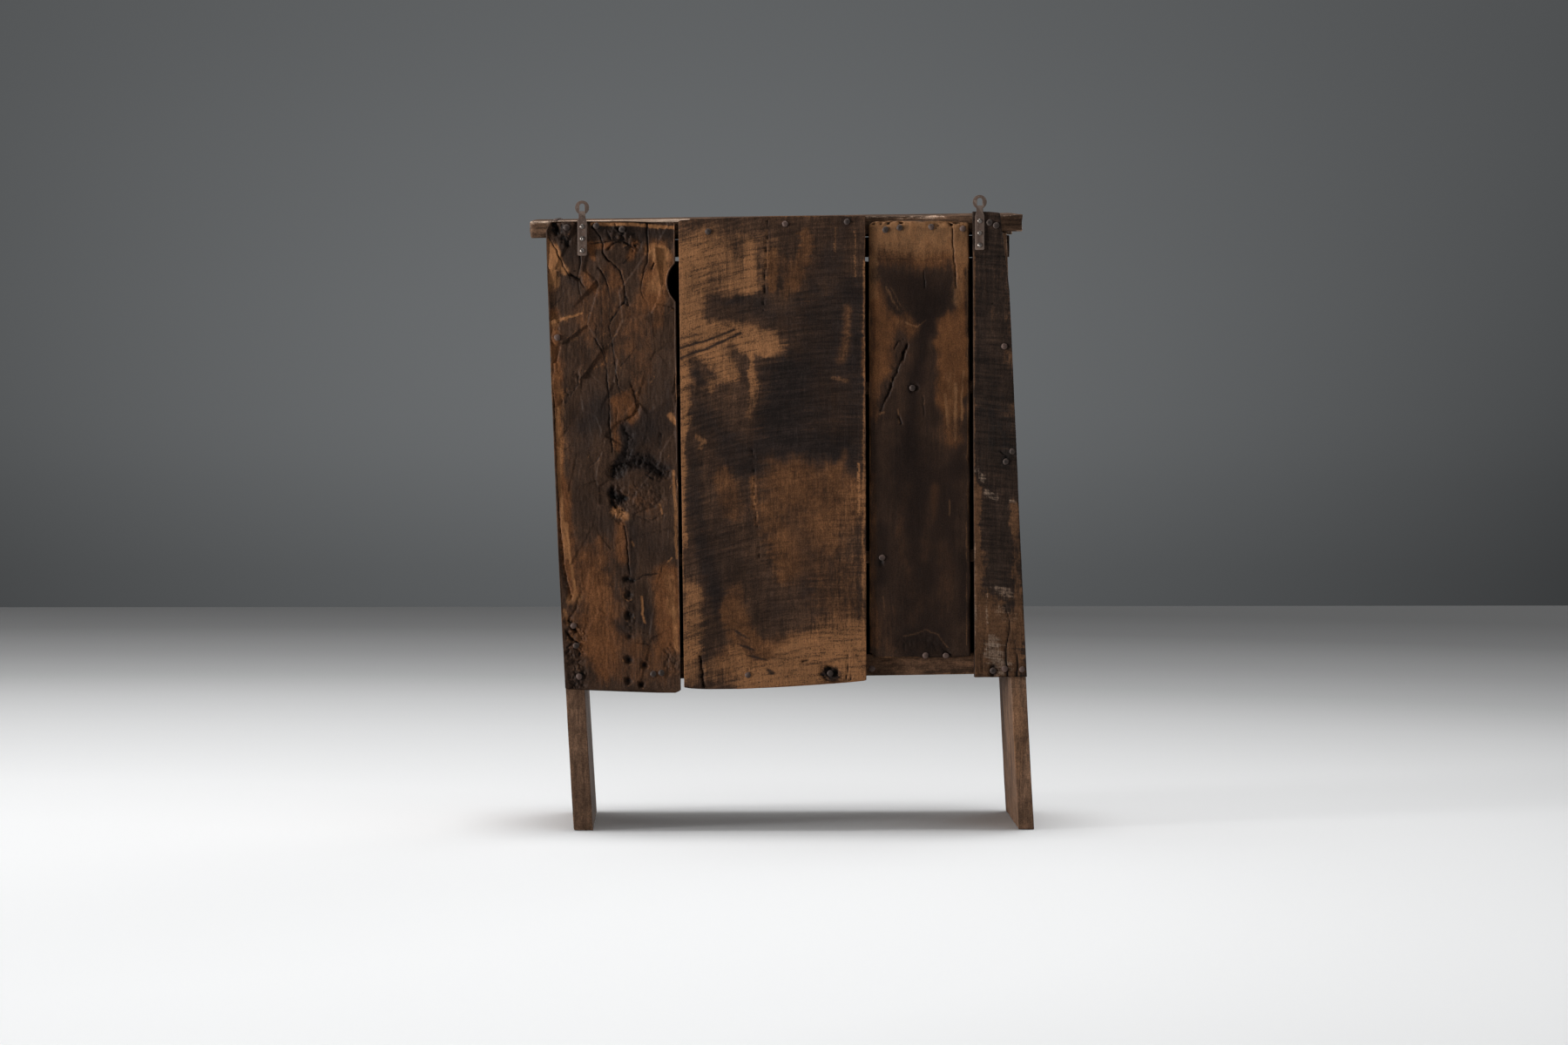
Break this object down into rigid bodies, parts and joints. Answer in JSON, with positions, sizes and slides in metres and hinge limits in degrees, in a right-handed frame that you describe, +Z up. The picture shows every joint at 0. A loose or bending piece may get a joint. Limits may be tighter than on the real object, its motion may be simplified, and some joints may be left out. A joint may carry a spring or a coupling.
{
  "type": "plank cupboard with two doors",
  "caption": "Small rustic plank cupboard on slab sides, with two ledged doors on strap hinges, shelves, a turn button, a nailed plank back and plates for hanging it.",
  "frame": {"origin": "on the floor, below the centre of the whole cupboard's box", "axes": "+X to the right seen from the doors, +Y to the plank back, +Z up"},
  "size_m": [0.8712, 0.4274, 1.0946],
  "materials": {
    "oak_hewn": "hewn and decayed oak, near black stain over red brown, waxed",
    "oak_sawn": "sawn oak with a worn tan patch and dark stains",
    "oak_warm": "planed oak, warm brown with swirled grain",
    "oak_dark": "sawn oak, near black brown",
    "oak_grey": "dry weathered oak, grey brown",
    "oak_top": "cracked and waxed oak, mid brown",
    "oak_front": "waxed oak, brown, worn at its edges",
    "turned_wood": "dark handled wood, slightly glossy",
    "forged_iron": "hammered iron, dark brown rust",
    "plate_steel": "brown rusted sheet steel with bright rubbed spots",
    "worn_steel": "drawn steel, dull and brown"
  },
  "bodies": {
    "root": {"side_right": "oak_grey", "side_left": "oak_grey", "top_rear_plank": "oak_top", "top_front_plank": "oak_top", "bottom_board": "oak_warm", "shelf_lower": "oak_grey", "shelf_upper": "oak_grey", "back_plank_1": "oak_hewn", "back_plank_2": "oak_sawn", "back_plank_3": "oak_warm", "back_plank_4": "oak_dark", "stile_right": "oak_front", "stile_left": "oak_front", "front_rail": "oak_front", "packing_strip": "oak_top", "hanging_plate_right": "plate_steel", "hanging_plate_left": "plate_steel", "plate_screws": "plate_steel", "nails_back_1": "forged_iron", "nails_back_2": "forged_iron", "nails_back_3": "forged_iron", "nails_back_4": "forged_iron", "nails_top": "forged_iron", "nails_side_right": "forged_iron", "nails_side_left": "forged_iron", "nails_front": "forged_iron", "leaf_right_lower": "forged_iron", "leaf_right_upper": "forged_iron", "leaf_left_lower": "forged_iron", "leaf_left_upper": "forged_iron", "hinge_pins_right": "worn_steel", "hinge_pins_left": "worn_steel", "nails_leaf_right": "forged_iron", "nails_leaf_left": "forged_iron", "button_screw": "worn_steel"},
    "door_right": {"door_right_hinge_plank": "oak_front", "door_right_meeting_plank": "oak_front", "door_right_batten_lower": "oak_grey", "door_right_batten_upper": "oak_grey", "knob_right": "turned_wood", "nails_door_right": "forged_iron", "strap_right_lower": "forged_iron", "strap_right_upper": "forged_iron", "nails_strap_right": "forged_iron"},
    "door_left": {"door_left_hinge_plank": "oak_front", "door_left_meeting_plank": "oak_front", "door_left_batten_lower": "oak_grey", "door_left_batten_upper": "oak_grey", "knob_left": "turned_wood", "nails_door_left": "forged_iron", "strap_left_lower": "forged_iron", "strap_left_upper": "forged_iron", "nails_strap_left": "forged_iron"},
    "turn_button": {"turn_button": "turned_wood"}
  },
  "joints": [
    {"name": "door_right_hinge", "type": "hinge", "parent": "root", "child": "door_right", "pos_m": [0.28088, -0.1855, 0.6], "axis": [0, 0, 1], "range_deg": [0, 165]},
    {"name": "door_left_hinge", "type": "hinge", "parent": "root", "child": "door_left", "pos_m": [-0.29619, -0.1855, 0.6], "axis": [0, 0, -1], "range_deg": [0, 165]},
    {"name": "turn_button_pivot", "type": "hinge", "parent": "root", "child": "turn_button", "pos_m": [-0.00765, -0.1857, 1.01], "axis": [0, 1, 0], "range_deg": [0, 90]}
  ]
}
